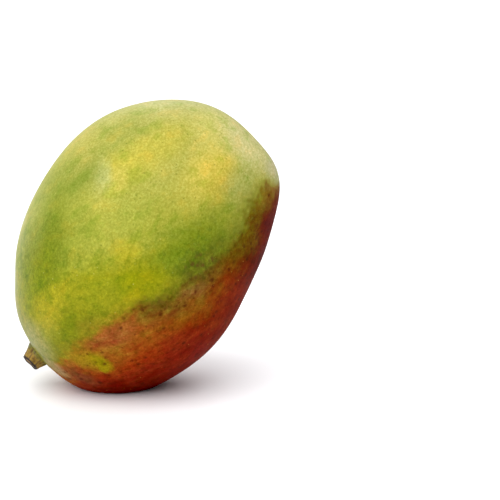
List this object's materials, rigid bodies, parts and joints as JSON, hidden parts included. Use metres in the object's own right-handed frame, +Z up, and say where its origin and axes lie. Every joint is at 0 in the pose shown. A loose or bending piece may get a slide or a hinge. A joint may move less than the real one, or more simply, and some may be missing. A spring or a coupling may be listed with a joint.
{
  "type": "mango",
  "caption": "Whole ripening mango with a short broken stem stub, standing tilted on a small flat spot under its stem-end shoulder.",
  "frame": {"origin": "middle of the small flat spot that the fruit stands on, at the height of the surface under it", "axes": "+Z up from the surface; the fruit's long axis lies in the XZ plane and rises 58 degrees towards +X, so the apex is at +X and high and the stem at -X and low; -Y is towards the cheek that the front view shows"},
  "size_m": [0.1061, 0.0886, 0.1149],
  "materials": {
    "skin": "satin",
    "stem_wood": "matte"
  },
  "bodies": {
    "root": {"fruit": "skin", "stem": "stem_wood"}
  },
  "joints": []
}
